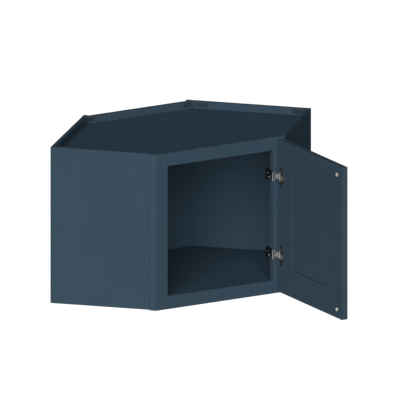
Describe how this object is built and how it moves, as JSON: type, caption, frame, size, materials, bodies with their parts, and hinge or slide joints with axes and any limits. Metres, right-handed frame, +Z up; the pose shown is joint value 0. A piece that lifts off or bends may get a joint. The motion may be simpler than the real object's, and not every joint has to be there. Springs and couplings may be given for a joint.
{
  "type": "corner wall cabinet",
  "caption": "Diagonal corner wall cabinet with a clipped rear corner, face frame, recessed top and a framed door on concealed-cup hinges, open square to the front.",
  "frame": {"origin": "middle of the underside of the face frame, midway through the frame's thickness", "axes": "+X to the viewer's right along the diagonal front, -Y out of the front towards the viewer, +Y into the room corner, +Z up"},
  "size_m": [0.852, 0.8503, 0.4572],
  "materials": {
    "box_paint": "slate blue satin paint on plywood",
    "frame_paint": "slate blue satin paint on hardwood",
    "door_paint": "slate blue satin paint on hardwood",
    "hinge_nickel": "nickel-plated pressed steel",
    "hinge_black": "black coated die-cast zinc",
    "screw_steel": "zinc-plated steel",
    "bracket_zinc": "dark passivated zinc on steel strip",
    "bumper_rubber": "clear-white soft pad"
  },
  "bodies": {
    "cabinet": {"left_end_panel": "box_paint", "right_end_panel": "box_paint", "left_back_panel": "box_paint", "right_back_panel": "box_paint", "corner_back_panel": "box_paint", "top_panel": "box_paint", "bottom_panel": "box_paint", "frame_left_stile": "frame_paint", "frame_right_stile": "frame_paint", "frame_top_rail": "frame_paint", "frame_bottom_rail": "frame_paint", "left_corner_bracket": "bracket_zinc", "left_corner_bracket_screw_1": "bracket_zinc", "left_corner_bracket_screw_2": "bracket_zinc", "left_end_bracket": "bracket_zinc", "left_end_bracket_screw_1": "bracket_zinc", "left_end_bracket_screw_2": "bracket_zinc", "right_corner_bracket": "bracket_zinc", "right_corner_bracket_screw_1": "bracket_zinc", "right_corner_bracket_screw_2": "bracket_zinc", "right_end_bracket": "bracket_zinc", "right_end_bracket_screw_1": "bracket_zinc", "right_end_bracket_screw_2": "bracket_zinc", "upper_hinge_plate": "hinge_black", "upper_hinge_plate_screw": "hinge_black", "upper_hinge_side_screw": "screw_steel", "upper_hinge_depth_screw": "screw_steel", "upper_hinge_arm": "hinge_nickel", "upper_hinge_pin": "hinge_black", "lower_hinge_plate": "hinge_black", "lower_hinge_plate_screw": "hinge_black", "lower_hinge_side_screw": "screw_steel", "lower_hinge_depth_screw": "screw_steel", "lower_hinge_arm": "hinge_nickel", "lower_hinge_pin": "hinge_black"},
    "door": {"door_hinge_stile": "door_paint", "door_free_stile": "door_paint", "door_top_rail": "door_paint", "door_bottom_rail": "door_paint", "door_center_panel": "door_paint", "upper_bumper": "bumper_rubber", "lower_bumper": "bumper_rubber", "upper_hinge_cup": "hinge_nickel", "upper_hinge_link": "hinge_nickel", "upper_hinge_cup_screw_1": "hinge_black", "upper_hinge_cup_screw_2": "hinge_black", "lower_hinge_cup": "hinge_nickel", "lower_hinge_link": "hinge_nickel", "lower_hinge_cup_screw_1": "hinge_black", "lower_hinge_cup_screw_2": "hinge_black"}
  },
  "joints": [
    {"name": "door_swing", "type": "hinge", "parent": "cabinet", "child": "door", "pos_m": [0.18386, -0.01222, 0.2286], "axis": [0, 0, 1], "range_deg": [-90, 15]}
  ]
}
